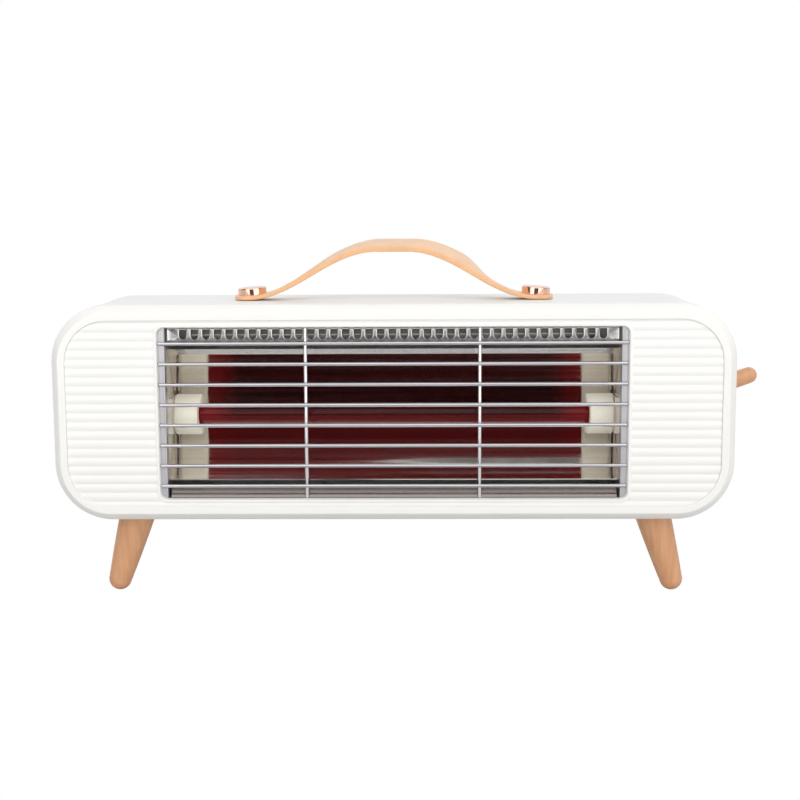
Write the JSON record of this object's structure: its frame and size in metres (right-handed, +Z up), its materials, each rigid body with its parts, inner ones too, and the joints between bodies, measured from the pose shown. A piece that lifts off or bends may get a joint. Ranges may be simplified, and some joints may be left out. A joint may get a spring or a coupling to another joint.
{
  "type": "radiant space heater",
  "caption": "Compact retro radiant heater: rounded white case with a ribbed front, quartz tube before a reflector, wire guard, leather strap handle, wooden legs and lever.",
  "frame": {"origin": "on the floor, under the middle of the bounding box; the case's own middle is 9.8 mm towards -X, because the lever stands out on +X", "axes": "+Z up, +X along the case towards the lever, -Y out of the heated front, +Y to the back"},
  "size_m": [0.3996, 0.0926, 0.1958],
  "materials": {
    "cream_plastic": "satin, warm white",
    "white_plastic": "satin, cooler white",
    "zinc_steel": "bright zinc",
    "silver_plate": "smooth silver",
    "chrome_wire": "polished",
    "chrome_strip": "polished",
    "polished_reflector": "mirror bright",
    "warm_sheet": "dull",
    "galvanised_sheet": "dull galvanised",
    "ruby_quartz": "deep ruby, glossy",
    "resistance_wire": "dull",
    "cream_ceramic": "matt cream",
    "beige_bracket": "matt beige",
    "phenolic": "matt brown",
    "white_ceramic": "matt white",
    "black_plastic": "matt black",
    "tan_wood": "smooth lacquer",
    "grey_iron": "as cast",
    "lead_white": "matt sleeve",
    "lead_red": "matt sleeve",
    "lead_brown": "matt sleeve",
    "lead_blue": "matt sleeve",
    "tan_leather": "smooth, semi-matt",
    "rose_gold": "polished rose gold"
  },
  "bodies": {
    "heater": {"front_bezel": "cream_plastic", "front_panel": "cream_plastic", "switch_collar": "cream_plastic", "rear_housing": "white_plastic", "inlet_bush": "white_plastic", "case_screws": "zinc_steel", "shield_screws": "zinc_steel", "strap_nuts": "zinc_steel", "leg_studs": "zinc_steel", "tip_pivot_pin": "zinc_steel", "switch_bush": "zinc_steel", "guard_plate_left": "silver_plate", "guard_plate_right": "silver_plate", "guard_bar_1": "chrome_wire", "guard_bar_2": "chrome_wire", "guard_bar_3": "chrome_wire", "guard_bar_4": "chrome_wire", "guard_bar_5": "chrome_wire", "guard_bar_6": "chrome_wire", "guard_bar_7": "chrome_wire", "guard_bar_8": "chrome_wire", "guard_upright_left": "chrome_wire", "guard_upright_right": "chrome_wire", "vent_strip": "chrome_strip", "bottom_lip": "chrome_strip", "reflector": "polished_reflector", "cavity_side_left": "warm_sheet", "cavity_side_right": "warm_sheet", "heat_shield": "galvanised_sheet", "tip_switch_bracket": "galvanised_sheet", "quartz_tube": "ruby_quartz", "heating_coil": "resistance_wire", "ceramic_cap_left": "cream_ceramic", "ceramic_cap_right": "cream_ceramic", "cap_bracket_left": "beige_bracket", "cap_bracket_right": "beige_bracket", "thermal_cutout": "phenolic", "terminal_block": "white_ceramic", "switch_body": "black_plastic", "tip_microswitch": "black_plastic", "cord_clamp": "black_plastic", "leg_front_left": "tan_wood", "leg_front_right": "tan_wood", "leg_rear_left": "tan_wood", "leg_rear_right": "tan_wood", "lamp_lead_left": "lead_white", "lamp_lead_right": "lead_white", "cutout_lead": "lead_red", "switch_lead": "lead_brown", "tip_switch_lead": "lead_blue", "strap_handle": "tan_leather", "strap_bolt_left": "rose_gold", "strap_bolt_right": "rose_gold"},
    "lever": {"toggle_arm": "zinc_steel", "lever_peg": "tan_wood"},
    "tip_pendulum": {"tip_weight": "grey_iron"}
  },
  "joints": [
    {"name": "lever_toggle", "type": "hinge", "parent": "heater", "child": "lever", "pos_m": [0.17017, -0.00125, 0.11275], "axis": [0, 1, 0], "range_deg": [0, 38.6]},
    {"name": "tip_swing", "type": "hinge", "parent": "heater", "child": "tip_pendulum", "pos_m": [-0.15583, 0.01575, 0.134], "axis": [1, 0, 0], "range_deg": [-20, 20]}
  ]
}
